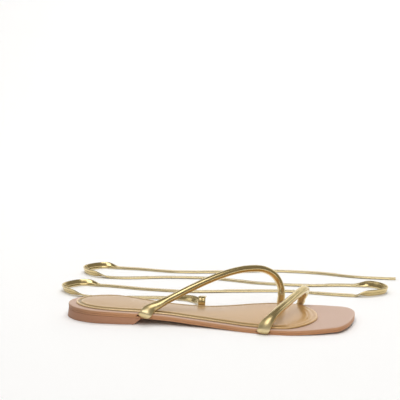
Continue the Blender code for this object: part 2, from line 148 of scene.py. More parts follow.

# %% [markdown]
# ## Making and placing a piece
# Every mesh here is rows of points joined by quads. One helper makes the object, shades it smooth,
# gives it its finish and ties it to the frame: it rides on the one body and stands for its solid.
# Two marks can be painted on the points. `side` says how far a point is down an edge, in a groove or
# pressed flat; in the sock's groove and under its rolled edge it brings a painted shade. The other
# says how much rubbing a point gets; on the sock's rim and the board's top corner it is also a
# painted highlight.

# %% Make a piece
SHARP_ANGLE = math.radians(60.0)


def ring_quads(rings, count, turned=False):
    """Quads between rings of points; turned where the rings run the other way round."""
    faces = []
    for base in range(0, (rings - 1) * count, count):
        for index in range(count):
            one, two = base + index, base + (index + 1) % count
            quad = (one, two, two + count, one + count)
            faces.append((quad[0], *quad[:0:-1]) if turned else quad)
    return faces


def closed_tube(rings, count, turned=False):
    """Ring quads with one face over each end."""
    ends = (tuple(range(count))[::-1], tuple(range((rings - 1) * count, rings * count)))
    return ring_quads(rings, count, turned) + [end[::-1] if turned else end for end in ends]


def new_piece(name, points, faces, finish, node, marks):
    mesh = bpy.data.meshes.new(name)
    mesh.from_pydata([tuple(point) for point in points], [], faces)
    for label, values in marks.items():
        layer = mesh.attributes.new(label, "FLOAT", "POINT")
        layer.data.foreach_set("value", np.array(values, dtype=np.float32))
    mesh.validate()
    mesh.shade_smooth()
    mesh.set_sharp_from_angle(angle=SHARP_ANGLE)
    mesh.materials.append(finish)
    piece = bpy.data.objects.new(name, mesh)
    bpy.context.scene.collection.objects.link(piece)
    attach(piece, "root")
    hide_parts(node)
    print(name, "has", len(mesh.polygons), "faces")
    return piece


print("piece helpers ready")

# %% [markdown]
# ## Nodes
# A shader is a tree of nodes, and each input of a node takes either a plain value or another node's
# output. `add_node` accepts both, so that a tree reads from its start to its end. The Mix node has
# sockets of the same name for numbers, vectors and colours, and those for colours go by number.

# %% Node helpers
MIX_FIRST = 6
MIX_SECOND = 7
MIX_RESULT = 2


def feed(tree, socket, value):
    """Link a socket to another node's output, or set it to a plain number or colour."""
    if isinstance(value, bpy.types.NodeSocket):
        tree.links.new(value, socket)
    else:
        socket.default_value = value


def add_node(tree, kind, values=None, **settings):
    node = tree.nodes.new(kind)
    for key, value in settings.items():
        setattr(node, key, value)
    for socket, value in (values or {}).items():
        feed(tree, node.inputs[socket], value)
    return node


def math_node(tree, operation, one, two):
    return add_node(tree, "ShaderNodeMath", {0: one, 1: two}, operation=operation).outputs[0]


def mix_colours(tree, share, first, second):
    values = {"Factor": share, MIX_FIRST: first, MIX_SECOND: second}
    return add_node(tree, "ShaderNodeMix", values, data_type="RGBA").outputs[MIX_RESULT]


def between(tree, mask, low, high):
    values = {"Value": mask, "To Min": low, "To Max": high}
    return add_node(tree, "ShaderNodeMapRange", values).outputs["Result"]


def painted(tree, label):
    """A mark that is painted on the piece's points."""
    return add_node(tree, "ShaderNodeAttribute", attribute_name=label).outputs["Fac"]


def own_place(tree):
    """A point's place in the object's own metres."""
    return add_node(tree, "ShaderNodeTexCoord").outputs["Object"]


def new_group(name, inputs, outputs):
    group = bpy.data.node_groups.new(name, "ShaderNodeTree")
    for label, kind, value in inputs:
        socket = group.interface.new_socket(label, in_out="INPUT", socket_type=kind)
        socket.default_value = value
    for label, kind in outputs:
        group.interface.new_socket(label, in_out="OUTPUT", socket_type=kind)
    given = group.nodes.new("NodeGroupInput").outputs
    result = group.nodes.new("NodeGroupOutput").inputs
    return group, given, result


print("node helpers ready")

# %% [markdown]
# ## Three effects that several finishes share
# Leather shows fine pores and creases, and its colour is never quite even. Each effect is a node
# group, built once. `leather grain` puts out a height for a Bump node. It works in the object's
# own metres, so the grain keeps its true size on every piece. `uneven tone` mixes two colours by
# soft clouds, and lets places with rubbing go to a third. On the sock's rim and the board's top
# corner that third colour is also a painted highlight.

# %% Leather grain
WRINKLES_PER_PORE = 0.22


def leather_grain():
    group, given, result = new_group(
        "leather grain",
        [("Pores per m", "NodeSocketFloat", 1500.0), ("Crease", "NodeSocketFloat", 0.4)],
        [("Height", "NodeSocketFloat"), ("Pores", "NodeSocketFloat")],
    )
    place = own_place(group)
    cells = add_node(group, "ShaderNodeTexVoronoi",
                     {"Vector": place, "Scale": given["Pores per m"]}, feature="SMOOTH_F1")
    wrinkle_scale = math_node(group, "MULTIPLY", given["Pores per m"], WRINKLES_PER_PORE)
    wrinkles = add_node(group, "ShaderNodeTexNoise", {
        "Vector": place, "Scale": wrinkle_scale, "Detail": 4.0, "Distortion": 0.6,
    })
    creases = math_node(group, "MULTIPLY", wrinkles.outputs["Fac"], given["Crease"])
    height = math_node(group, "ADD", cells.outputs["Distance"], creases)
    feed(group, result["Height"], height)
    feed(group, result["Pores"], cells.outputs["Distance"])
    return group


grain_group = leather_grain()
print("leather grain has", len(grain_group.nodes), "nodes")

# %% Uneven tone
SPECKS_PER_M = 900.0
RUBBING_AND_HIGHLIGHT_STRENGTH = 1.6


def uneven_tone():
    group, given, result = new_group(
        "uneven tone",
        [
            ("Main", "NodeSocketColor", (0.5, 0.5, 0.5, 1.0)),
            ("Second", "NodeSocketColor", (0.4, 0.4, 0.4, 1.0)),
            ("Rubbed and highlight", "NodeSocketColor", (0.7, 0.7, 0.7, 1.0)),
            ("Rubbing and highlight", "NodeSocketFloat", 0.0),
            ("Clouds per m", "NodeSocketFloat", 60.0),
        ],
        [("Colour", "NodeSocketColor"), ("Clouds", "NodeSocketFloat")],
    )
    place = own_place(group)
    clouds = add_node(group, "ShaderNodeTexNoise", {
        "Vector": place, "Scale": given["Clouds per m"], "Detail": 5.0, "Roughness": 0.55,
    })
    specks = add_node(group, "ShaderNodeTexNoise", {
        "Vector": place, "Scale": SPECKS_PER_M, "Detail": 3.0,
    })
    cloudy = mix_colours(group, clouds.outputs["Fac"], given["Main"], given["Second"])
    # specks of rubbing go to the third colour, which on the sock's rim and the board's top corner is also
    # a painted highlight
    rubbed_and_highlight = math_node(group, "MULTIPLY", given["Rubbing and highlight"], specks.outputs["Fac"])
    rubbed_and_highlight = math_node(group, "MULTIPLY", rubbed_and_highlight, RUBBING_AND_HIGHLIGHT_STRENGTH)
    feed(group, result["Colour"], mix_colours(group, rubbed_and_highlight, cloudy, given["Rubbed and highlight"]))
    feed(group, result["Clouds"], clouds.outputs["Fac"])
    return group


tone_group = uneven_tone()
print("uneven tone has", len(tone_group.nodes), "nodes")

# %% [markdown]
# Some tones change along the foot: a painted shade darkens an edge round the heel, where less light
# falls on the curved back, and a sock gets warmer towards the ball. A third group goes softly from
# one colour to another between two places along X.

# %% Tone along the foot
def tone_along_foot():
    group, given, result = new_group(
        "tone along the foot",
        [
            ("Colour", "NodeSocketColor", (0.5, 0.5, 0.5, 1.0)),
            ("Far colour", "NodeSocketColor", (0.4, 0.4, 0.4, 1.0)),
            ("Start x", "NodeSocketFloat", 0.0),
            ("End x", "NodeSocketFloat", 0.1),
            ("Most", "NodeSocketFloat", 1.0),
        ],
        [("Colour", "NodeSocketColor")],
    )
    apart = add_node(group, "ShaderNodeSeparateXYZ", {"Vector": own_place(group)})
    along = add_node(group, "ShaderNodeMapRange", {
        "Value": apart.outputs["X"], "From Min": given["Start x"], "From Max": given["End x"],
        "To Max": given["Most"],
    }, interpolation_type="SMOOTHSTEP")
    mixed = mix_colours(group, along.outputs["Result"], given["Colour"], given["Far colour"])
    feed(group, result["Colour"], mixed)
    return group


foot_group = tone_along_foot()
print("tone along the foot has", len(foot_group.nodes), "nodes")

# %% [markdown]
# ## Finishes
# Gold straps are leather under a thin metal foil, so their shader is all metal, with a low roughness
# that the foil's fine creases vary. Where a strap is pressed flat its foil is duller. The sock is
# mostly leather with a gold sheen, so it is only a little metal. The board's nude leather and the tan
# edges are plain dyed leather, with a painted shade on the edges round the heel. Numbers that stay
# the same all over a piece are set on the shader.

# %% Base of every finish
def new_finish(name, main, second, rubbed_and_highlight, clouds, pores, crease, bump):
    """clouds, pores: how many a metre. crease: share of the relief. bump: metres."""
    finish = bpy.data.materials.new(name)
    finish.use_nodes = True
    tree = finish.node_tree
    shader = tree.nodes["Principled BSDF"]
    tone = add_node(tree, "ShaderNodeGroup", {
        "Main": (*main, 1.0), "Second": (*second, 1.0), "Rubbed and highlight": (*rubbed_and_highlight, 1.0),
        "Rubbing and highlight": painted(tree, "wear_and_highlight"), "Clouds per m": clouds,
    }, node_tree=tone_group, name="tone")
    grain = add_node(tree, "ShaderNodeGroup", {"Pores per m": pores, "Crease": crease},
                     node_tree=grain_group, name="grain")
    relief = add_node(tree, "ShaderNodeBump", {
        "Height": grain.outputs["Height"], "Strength": 1.0, "Distance": bump,
    })
    feed(tree, shader.inputs["Normal"], relief.outputs["Normal"])
    feed(tree, shader.inputs["Base Color"], tone.outputs["Colour"])
    return finish, tree, shader


print("base finish ready")

# %% Gold foil of the straps and the tie
PRESSED_DULLNESS = 0.20


def gold_foil(name, low, high):
    """low, high: the roughness that the foil's clouds go between."""
    finish, tree, shader = new_finish(
        name, main=(0.76, 0.62, 0.325), second=(0.70, 0.54, 0.26), rubbed_and_highlight=(0.86, 0.76, 0.51),
        clouds=90.0, pores=1700.0, crease=1.4, bump=0.00002)
    shader.inputs["Metallic"].default_value = 1.0
    rough = between(tree, tree.nodes["tone"].outputs["Clouds"], low, high)
    dull = math_node(tree, "MULTIPLY", painted(tree, "side"), PRESSED_DULLNESS)
    feed(tree, shader.inputs["Roughness"], math_node(tree, "ADD", rough, dull))
    return finish


strap_gold = gold_foil("strap_gold", 0.13, 0.24)
tie_gold = gold_foil("tie_gold", 0.16, 0.28)
print("foils:", strap_gold.name, tie_gold.name)

# %% Gold sheen of the sock
SOCK_METAL = 0.28
SOCK_WARM = (0.55, 0.30, 0.09, 1.0)
# dark olive of the painted shade in the sock's groove and under its rolled edge
GROOVE_SHADE_COLOUR = (0.34, 0.24, 0.10, 1.0)


def sock_foil():
    # its third colour is the painted highlight along the rim and the top's edge, besides rubbing
    finish, tree, shader = new_finish(
        "sock_gold", main=(0.55, 0.36, 0.18), second=(0.515, 0.33, 0.15), rubbed_and_highlight=(0.92, 0.69, 0.40),
        clouds=26.0, pores=1300.0, crease=0.8, bump=0.00003)
    shader.inputs["Metallic"].default_value = SOCK_METAL
    tone = tree.nodes["tone"].outputs
    feed(tree, shader.inputs["Roughness"], between(tree, tone["Clouds"], 0.18, 0.28))
    warm = add_node(tree, "ShaderNodeGroup", {
        "Colour": tone["Colour"], "Far colour": SOCK_WARM, "Start x": -0.02, "End x": 0.08, "Most": 0.65,
    }, node_tree=foot_group)
    # painted shade: the groove and the underside of the rolled edge go dark olive
    colour = mix_colours(tree, painted(tree, "side"), warm.outputs["Colour"], GROOVE_SHADE_COLOUR)
    feed(tree, shader.inputs["Base Color"], colour)
    return finish


sock_gold = sock_foil()
print("sock:", sock_gold.name)

# %% Leather with a painted edge
EDGE_CLOUDS = 40.0
# between these places along X a painted shade darkens the edge towards the back of the heel
HEEL_SHADE_START = -0.072
HEEL_SHADE_END = -0.120


def two_tone(finish_parts, edge, edge_second, heel_shaded_edge):
    """Under the `side` mark the leather takes the colour of its painted edge, which a painted shade
    darkens round the heel.
    """
    finish, tree, shader = finish_parts
    paint = add_node(tree, "ShaderNodeGroup", {
        "Main": (*edge, 1.0), "Second": (*edge_second, 1.0), "Clouds per m": EDGE_CLOUDS,
    }, node_tree=tone_group)
    # painted shade: the edge colour darkens towards the heel's back, where less light falls
    shaded_edge = add_node(tree, "ShaderNodeGroup", {
        "Colour": paint.outputs["Colour"], "Far colour": (*heel_shaded_edge, 1.0),
        "Start x": HEEL_SHADE_START, "End x": HEEL_SHADE_END,
    }, node_tree=foot_group)
    top = tree.nodes["tone"].outputs["Colour"]
    colour = mix_colours(tree, painted(tree, "side"), top, shaded_edge.outputs["Colour"])
    feed(tree, shader.inputs["Base Color"], colour)
    rough = between(tree, tree.nodes["grain"].outputs["Pores"], 0.42, 0.55)
    feed(tree, shader.inputs["Roughness"], rough)
    return finish


# the board's third colour, a light peach, is also a painted highlight along its rounded top corner
board_leather = two_tone(
    new_finish("board_leather", main=(0.60, 0.415, 0.325), second=(0.57, 0.39, 0.30),
               rubbed_and_highlight=(0.74, 0.54, 0.41), clouds=30.0, pores=1500.0, crease=0.7, bump=0.00004),
    edge=(0.60, 0.295, 0.138), edge_second=(0.56, 0.27, 0.126), heel_shaded_edge=(0.385, 0.19, 0.095))
outsole_leather = two_tone(
    new_finish("outsole_leather", main=(0.50, 0.32, 0.20), second=(0.43, 0.26, 0.16),
               rubbed_and_highlight=(0.30, 0.19, 0.12), clouds=45.0, pores=1100.0, crease=1.0, bump=0.00005),
    edge=(0.57, 0.28, 0.133), edge_second=(0.52, 0.25, 0.113), heel_shaded_edge=(0.38, 0.187, 0.095))
heel_leather = two_tone(
    new_finish("heel_leather", main=(0.20, 0.12, 0.08), second=(0.16, 0.10, 0.07),
               rubbed_and_highlight=(0.30, 0.20, 0.14), clouds=45.0, pores=1100.0, crease=1.0, bump=0.00005),
    edge=(0.52, 0.255, 0.142), edge_second=(0.46, 0.22, 0.122), heel_shaded_edge=(0.385, 0.188, 0.104))
print("leathers:", board_leather.name, outsole_leather.name, heel_leather.name)

# %% [markdown]
# ## The tie, laid on the floor
# In use the tie winds about three and a half times round the leg. Taken off, the sandal's tie falls
# to the inner side and lies there in loose curves. It is 1.15 m of flat folded leather, 6.5 mm wide
# and 1.5 mm thick. Such a band lies flat where it runs straight, but can't bend in its own plane,
# so in each tight turn it rolls up on its edge. The route's points are those of the solid.

# %% Route of the tie
TIE_LENGTH = 1.150
TIE_WIDTH = 0.0065
TIE_THICKNESS = 0.0015
TIE_LYING_HEIGHT = 0.0034
TIE_STATIONS = 900
ROUTE_STEPS = 24
# each row: x and y from the footbed's middle, and the height above the lying tie
TIE_ROUTE = (
    (-0.0100, 0.0220, 0.0096), (-0.0105, 0.0310, 0.0084), (-0.0140, 0.0420, 0.0038),
    (-0.0240, 0.0545, 0.0004), (-0.0450, 0.0620, 0.0), (-0.0800, 0.0600, 0.0),
    (-0.1150, 0.0570, 0.0), (-0.1400, 0.0640, 0.0), (-0.1510, 0.0810, 0.0),
    (-0.1400, 0.0985, 0.0), (-0.1150, 0.1010, 0.0), (-0.0750, 0.0930, 0.0),
    (-0.0300, 0.0900, 0.0), (0.0150, 0.0980, 0.0), (0.0600, 0.1040, 0.0),
    (0.1050, 0.0970, 0.0), (0.1370, 0.0970, 0.0), (0.1520, 0.1120, 0.0),
    (0.1430, 0.1290, 0.0), (0.1180, 0.1350, 0.0), (0.0750, 0.1290, 0.0),
    (0.0300, 0.1320, 0.0), (-0.0150, 0.1440, 0.0), (-0.0600, 0.1430, 0.0),
    (-0.1050, 0.1340, 0.0), (-0.1350, 0.1390, 0.0), (-0.1480, 0.1560, 0.0),
    (-0.1350, 0.1730, 0.0), (-0.1000, 0.1740, 0.0), (-0.0550, 0.1670, 0.0),
    (-0.0100, 0.1730, 0.0), (0.0350, 0.1840, 0.0), (0.0800, 0.1820, 0.0),
    (0.1250, 0.1700, 0.0), (0.1600, 0.1680, 0.0),
)


def route_point(x, y, lift):
    return Vector((x + middle.x, y + middle.y, TIE_LYING_HEIGHT + lift))


tie_curve = smooth_path([route_point(*row) for row in TIE_ROUTE], ROUTE_STEPS)
tie_lengths = lengths_along(tie_curve)
print("the tie's route is", round(tie_lengths[-1], 4), "m long")

# %% [markdown]
# The band's cross-section is a flat rounded shape with a shallow line near one edge, where the
# leather's two plies are folded together. `band` sweeps it along any path. A mesh is used because
# a curve's own bevel can't hold a section that stays flat on the floor.

# %% Sweep a folded band
# each pair: shares of half the width and of half the thickness
BAND_SECTION = (
    (-1.00, 0.00), (-0.97, 0.55), (-0.88, 0.90), (-0.60, 1.00), (-0.20, 0.98), (0.16, 0.96),
    (0.30, 0.90), (0.36, 0.62), (0.42, 0.90), (0.62, 0.98), (0.86, 0.90), (0.96, 0.55),
    (1.00, 0.00), (0.96, -0.55), (0.86, -0.90), (0.55, -1.00), (0.20, -0.98), (0.04, -0.90),
    (0.00, -0.66), (-0.04, -0.90), (-0.30, -0.98), (-0.60, -1.00), (-0.88, -0.90), (-0.97, -0.55),
)
RUBBED_FROM = 0.8
RUBBED_STEEPNESS = 3.0


def band(name, path, ways, thicknesses, node):
    """ways: which way the band is wide at each point of its path."""
    points, wear_and_highlight = [], []
    for index, centre in enumerate(path):
        ahead = heading(path, index)
        upward = ways[index].cross(ahead).normalized()
        across = ahead.cross(upward).normalized()
        for wide, thick in BAND_SECTION:
            points.append(centre + across * (wide * TIE_WIDTH / 2)
                          + upward * (thick * thicknesses[index] / 2))
            wear_and_highlight.append(max(0.0, abs(wide) - RUBBED_FROM) * RUBBED_STEEPNESS)
    faces = closed_tube(len(path), len(BAND_SECTION))
    return new_piece(name, points, faces, tie_gold, node, {"wear_and_highlight": wear_and_highlight})


print("the band's section has", len(BAND_SECTION), "points")

# %% [markdown]
# How far the band rolls up follows from how tightly its path turns. The bends are averaged along
# the path, so that it rolls over gradually. A little waver keeps the straight runs from looking
# pressed. It only rolls once it has come down to the floor, and it always touches the floor.

# %% Lay the tie
BEND_REACH = 12
BEND_SMOOTHING = 41
ROLL_START = 14.0
ROLL_SPAN = 22.0
MOST_ROLL = 1.25
WAVER = 0.05
WAVER_STEP = 0.031
LANDING_HEIGHT = 0.006
FLOOR_GAP = 0.0002
UP = Vector((0.0, 0.0, 1.0))


def turning(path, index):
    """Signed bend of the path, in radians a metre, seen from above."""
    before = path[max(index - BEND_REACH, 0)]
    here = path[index]
    after = path[min(index + BEND_REACH, len(path) - 1)]
    one, two = here - before, after - here
    turn = math.atan2(one.x * two.y - one.y * two.x, one.x * two.x + one.y * two.y)
    return turn / max((after - before).length, 1e-6) * 2.0


tie_path = [point_at(tie_curve, tie_lengths, TIE_LENGTH * step / TIE_STATIONS)
            for step in range(TIE_STATIONS + 1)]
bends = np.array([turning(tie_path, index) for index in range(len(tie_path))])
window = np.hanning(BEND_SMOOTHING)
bends = np.convolve(np.pad(bends, BEND_SMOOTHING // 2, mode="edge"), window / window.sum(), mode="valid")
tie_ways = []
for index, centre in enumerate(tie_path):
    off_floor = ease((centre.z - TIE_LYING_HEIGHT) / LANDING_HEIGHT)
    roll = MOST_ROLL * ease((abs(bends[index]) - ROLL_START) / ROLL_SPAN) * (1.0 - off_floor)
    roll += WAVER * math.sin(index * WAVER_STEP)
    ahead = heading(tie_path, index)
    level = Vector((ahead.y, -ahead.x, 0.0)).normalized()
    way = level * math.cos(roll) + UP * (math.sin(roll) * math.copysign(1.0, bends[index]))
    tie_ways.append(way)
    lying = (TIE_WIDTH * abs(way.z) + TIE_THICKNESS * math.sqrt(1.0 - way.z**2)) / 2 + FLOOR_GAP
    centre.z = centre.z * off_floor + lying * (1.0 - off_floor)
leg_tie = band("leg_tie_band", tie_path, tie_ways, [TIE_THICKNESS] * len(tie_path), "leg_tie")
tie_heights = [mm(point.z) for point in tie_path]
print("tie lies", min(tie_heights), "to", max(tie_heights), "mm above the floor")

# %% [markdown]
# ## The last's outline
# Everything in the sole follows one outline, that of the last. It is a table of shares, so it could
# be graded to another size: how far the outer and the inner edge lie from the middle line, as
# shares of the ball's width. The inner side is cut in at the waist, which makes this a right shoe.
# Another table raises the sole over the heel and springs its toe, and three arcs round the ends.

# %% Tables of the sole
SOLE_LENGTH = 0.250
BALL_WIDTH = 0.0868
HEEL_RISE = 0.0076
TOE_SPRING = 0.0025
OUTSOLE_THICKNESS = 0.0015
FOOTBED_THICKNESS = 0.0028
SOCK_THICKNESS = 0.0016
LAYER_GAP = 0.0003
# each row: share of the length from the heel, then the outer and the inner edge
OUTLINE = (
    (0.00, 0.325, 0.280), (0.14, 0.337, 0.293), (0.20, 0.338, 0.268), (0.28, 0.323, 0.200),
    (0.36, 0.317, 0.161), (0.46, 0.343, 0.188), (0.56, 0.393, 0.315), (0.64, 0.452, 0.441),
    (0.72, 0.494, 0.497), (0.78, 0.500, 0.500), (0.86, 0.466, 0.478), (0.94, 0.388, 0.415),
    (1.00, 0.335, 0.365),
)
# each row: share of the length, then the shares of the heel's rise and of the toe's spring
RISE = (
    (0.00, 1.00, 0.00), (0.12, 0.92, 0.00), (0.26, 0.76, 0.00), (0.36, 0.55, 0.00),
    (0.46, 0.29, 0.00), (0.56, 0.09, 0.00), (0.65, 0.00, 0.00), (0.78, 0.00, 0.00),
    (0.90, 0.00, 0.42), (1.00, 0.00, 1.00),
)
# each arc: where it starts, its middle as a share of the ball's width, and how square it is
HEEL_ARC = (0.14, -0.023, {"lateral": 2.0, "medial": 2.0})
TOE_ARC = (0.94, 0.125, {"lateral": 2.0, "medial": 2.4})
SOCK_TOE_ARC = (0.755, -0.045, {"lateral": 2.0, "medial": 2.0})
print("the sole is", mm(SOLE_LENGTH), "mm long, its outline has", len(OUTLINE), "rows")


# %% Read a column without swinging past its rows
def smooth_column(table, column):
    along = np.array([row[0] for row in table])
    value = np.array([row[column] for row in table])
    steps = np.diff(along)
    slopes = np.diff(value) / steps
    tangents = np.concatenate(([slopes[0]], np.zeros(len(along) - 2), [slopes[-1]]))
    for row in range(1, len(along) - 1):
        before, after = slopes[row - 1], slopes[row]
        if before * after > 0.0:
            one, two = steps[row] * 2 + steps[row - 1], steps[row] + steps[row - 1] * 2
            tangents[row] = (one + two) / (one / before + two / after)

    def read(share):
        row = int(np.clip(np.searchsorted(along, share) - 1, 0, len(steps) - 1))
        part = (share - along[row]) / steps[row]
        keep = 1 - part
        result = value[row] * (1 + 2 * part) * keep**2
        result += tangents[row] * steps[row] * part * keep**2
        result += value[row + 1] * part**2 * (3 - 2 * part)
        result -= tangents[row + 1] * steps[row] * part**2 * keep
        return float(result)

    return read


reach = {"lateral": smooth_column(OUTLINE, 1), "medial": smooth_column(OUTLINE, 2)}
heel_share, toe_share = smooth_column(RISE, 1), smooth_column(RISE, 2)
print("inner waist, share of the ball:", round(reach["medial"](0.36), 3))


# %% Heights and edges of the sole
def x_at(share):
    return (share - 0.5) * SOLE_LENGTH + middle.x


def share_at(x):
    return (x - middle.x) / SOLE_LENGTH + 0.5


def underside(x):
    share = clamp(share_at(x))
    return HEEL_RISE * heel_share(share) + TOE_SPRING * toe_share(share)


def board_underside(x):
    return underside(x) + OUTSOLE_THICKNESS + LAYER_GAP


def rim(x):
    return board_underside(x) + FOOTBED_THICKNESS


def closing(depth, power):
    """How wide an arc still is at a share of its depth, from 1 where it starts to 0 at its end."""
    return max(0.0, 1.0 - max(depth, 0.0) ** power) ** (1.0 / power)


def arc_middle(arc):
    return arc[1] * BALL_WIDTH


def edge_y(share, side):
    """The last's edge at a share of its length."""
    full = reach[side](share) * BALL_WIDTH * (-1.0 if side == "lateral" else 1.0)
    if share < HEEL_ARC[0]:
        start, power = arc_middle(HEEL_ARC), HEEL_ARC[2][side]
        full = start + (full - start) * closing(1.0 - share / HEEL_ARC[0], power)
    if share > TOE_ARC[0]:
        start, power = arc_middle(TOE_ARC), TOE_ARC[2][side]
        full = start + (full - start) * closing((share - TOE_ARC[0]) / (1.0 - TOE_ARC[0]), power)
    return full + middle.y


print("ball is", mm(edge_y(0.75, "medial") - edge_y(0.75, "lateral")), "mm wide")

# %% Rings round the sole
ARC_STEPS = 26
MIDDLE_STEPS = 170


def stations(arc_start, arc_end):
    """Shares of a length, closer together in the arcs at both ends."""
    quarter = [math.pi / 2 * step / ARC_STEPS for step in range(ARC_STEPS)]
    heel = [arc_start * (1.0 - math.cos(angle)) for angle in quarter]
    toe = [1.0 - (1.0 - arc_end) * (1.0 - math.cos(angle)) for angle in reversed(quarter)]
    return heel + [float(share) for share in np.linspace(arc_start, arc_end, MIDDLE_STEPS)] + toe


def last_ring():
    shares = stations(HEEL_ARC[0], TOE_ARC[0])
    lateral = [(x_at(share), edge_y(share, "lateral")) for share in shares]
    medial = [(x_at(share), edge_y(share, "medial")) for share in shares[1:-1]]
    return lateral + medial[::-1]


def inset_ring(ring, inset):
    moved = []
    for index, (x, y) in enumerate(ring):
        before, after = ring[index - 1], ring[(index + 1) % len(ring)]
        run = Vector((after[0] - before[0], after[1] - before[1])).normalized()
        moved.append((x - run.y * inset, y + run.x * inset))
    return moved


sole_ring = last_ring()
print("the outline has", len(sole_ring), "points")

# %% [markdown]
# A layer of the sole is a stack of such rings, from the middle of its top, out over its edge and
# back under. A short profile says how far each ring lies inside the outline, how far below the top
# and how far it counts as side. Both caps are filled by rows straight across the foot, which keeps
# their quads even and lets the top be crowned.

# %% Build a layer from its profile
ACROSS = 14
CROWN_FADE_WIDTH = 0.03


def fill_across(points, base, count, lift):
    """Rows of quads over the ring that starts at the point numbered base."""
    half = count // 2
    rows = []
    for step in range(1, half):
        one, two = points[base + step], points[base + count - step]
        row = [base + step]
        for part in range(1, ACROSS):
            share = part / ACROSS
            arch = 4.0 * share * (1.0 - share) * min(1.0, (one - two).length / CROWN_FADE_WIDTH)
            row.append(len(points))
            points.append(one.lerp(two, share) + Vector((0.0, 0.0, lift * arch)))
        rows.append(row + [base + count - step])
    quads = [(one[i], one[i + 1], two[i + 1], two[i])
             for one, two in zip(rows, rows[1:]) for i in range(ACROSS)]
    quads += [(base, rows[0][i + 1], rows[0][i]) for i in range(ACROSS)]
    quads += [(base + half, rows[-1][i], rows[-1][i + 1]) for i in range(ACROSS)]
    return quads


def sole_layer(name, ring, profile, top_at, finish, node, press, crown=0.0, keep=None):
    """profile rows: inset, depth below top_at, side mark, mark of rubbing and painted highlight. keep:
    share of the side mark.
    """
    count = len(ring)
    points, side, wear_and_highlight = [], [], []
    for inset, depth, side_mark, wear_and_highlight_mark in profile:
        for index, (x, y) in enumerate(inset_ring(ring, inset)):
            extra = press(ring[index], inset, depth)
            points.append(Vector((x, y, top_at(x) - depth + extra)))
            side.append(side_mark * (keep(ring[index]) if keep else 1.0))
            wear_and_highlight.append(wear_and_highlight_mark)
    faces = ring_quads(len(profile), count, turned=True)
    for level, lift, turned in ((0, crown, False), (len(profile) - 1, 0.0, True)):
        quads = fill_across(points, level * count, count, lift)
        faces += [quad[::-1] if turned else quad for quad in quads]
        side += [profile[level][2]] * (len(points) - len(side))
        wear_and_highlight += [0.0] * (len(points) - len(wear_and_highlight))
    return new_piece(name, points, faces, finish, node, {"side": side, "wear_and_highlight": wear_and_highlight})


print("each cap is", ACROSS, "quads across")

# %% [markdown]
# ## Where the straps go in
# The flat end of each strap is tucked between the board and the outsole. There the board's lower
# edge gives way by the strap's thickness and the outsole dips a little, so the seam opens into a
# small dark mouth on both sides of the strap, as it does when a cemented sole closes over leather.

# %% Places of the strap ends
# shares of the sole's length, from the heel
STRAP_ENDS = {
    "instep": {"lateral": 0.285, "medial": 0.731},
    "toe": {"lateral": 0.702, "medial": 0.795},
}
TIE_END = 0.460
STRAP_END_WIDTHS = {"lateral": 0.0105, "medial": 0.0070}
MOUTHS = [(x_at(share), edge_y(share, side), STRAP_END_WIDTHS[side])
          for ends in STRAP_ENDS.values() for side, share in ends.items()]
MOUTHS.append((x_at(TIE_END), edge_y(TIE_END, "medial"), TIE_WIDTH))
print("mouths:", len(MOUTHS))

# %% Open the mouths
MOUTH_RISE = 0.00125
MOUTH_DIP = 0.00022
MOUTH_DEPTH = 0.010
MOUTH_DEPTH_FADE = 0.003
MOUTH_SIDE_GAP = 0.0002
MOUTH_SIDE_FADE = 0.0012
MOUTH_TOP = 0.45
MOUTH_FADE = 0.5


def mouth(point):
    """1 where a strap goes in under this point of the edge, 0 away from it."""
    most = 0.0
    for x, y, width in MOUTHS:
        away = math.hypot(point[0] - x, point[1] - y) - width / 2
        most = max(most, 1.0 - ease((away + MOUTH_SIDE_GAP) / MOUTH_SIDE_FADE))
    return most


def open_to(inset):
    return 1.0 - ease((inset - MOUTH_DEPTH) / MOUTH_DEPTH_FADE)


def board_press(point, inset, depth):
    low = ease((depth - FOOTBED_THICKNESS * MOUTH_TOP) / (FOOTBED_THICKNESS * MOUTH_FADE))
    return MOUTH_RISE * mouth(point) * low * open_to(inset)


def outsole_press(point, inset, depth):
    high = 1.0 - ease(depth / (OUTSOLE_THICKNESS * MOUTH_FADE))
    return -MOUTH_DIP * mouth(point) * high * open_to(inset)


print("a mouth goes in", mm(MOUTH_DEPTH), "mm")

# %% [markdown]
# ## Outsole, heel and board
# The outsole is thin sole leather with a waxed edge, its lower corner broken so that it doesn't
# fray. The board on it is stiff and wrapped in nude leather, whose top corner is rounded by the wrap
# and catches the light in a thin line, made brighter by a painted highlight along the corner. Its
# underside stays closed to the outsole.

# %% Outsole
OUTSOLE_GLUED = 0.93  # share of the gap under the board that the outsole's top fills
OUTSOLE_PROFILE = (
    (0.0130, 0.00002, 0.6, 0.0), (0.0060, 0.00002, 0.8, 0.0), (0.0004, 0.00002, 1.0, 0.0),
    (0.00020, 0.00006, 1.0, 0.0), (0.00012, 0.00018, 1.0, 0.0), (0.0001, 0.00080, 1.0, 0.0),
    (0.00012, 0.00130, 1.0, 0.2), (0.00018, 0.00155, 1.0, 0.4), (0.00034, 0.00169, 0.8, 0.6),
    (0.0006, 0.00176, 0.4, 0.6), (0.0016, 0.00178, 0.1, 0.3), (0.0060, 0.00178, 0.0, 0.1),
)


def outsole_top(x):
    return underside(x) + OUTSOLE_THICKNESS + LAYER_GAP * OUTSOLE_GLUED


outsole = sole_layer("outsole_leather_sole", sole_ring, OUTSOLE_PROFILE, outsole_top, outsole_leather,
                     "outsole", outsole_press)

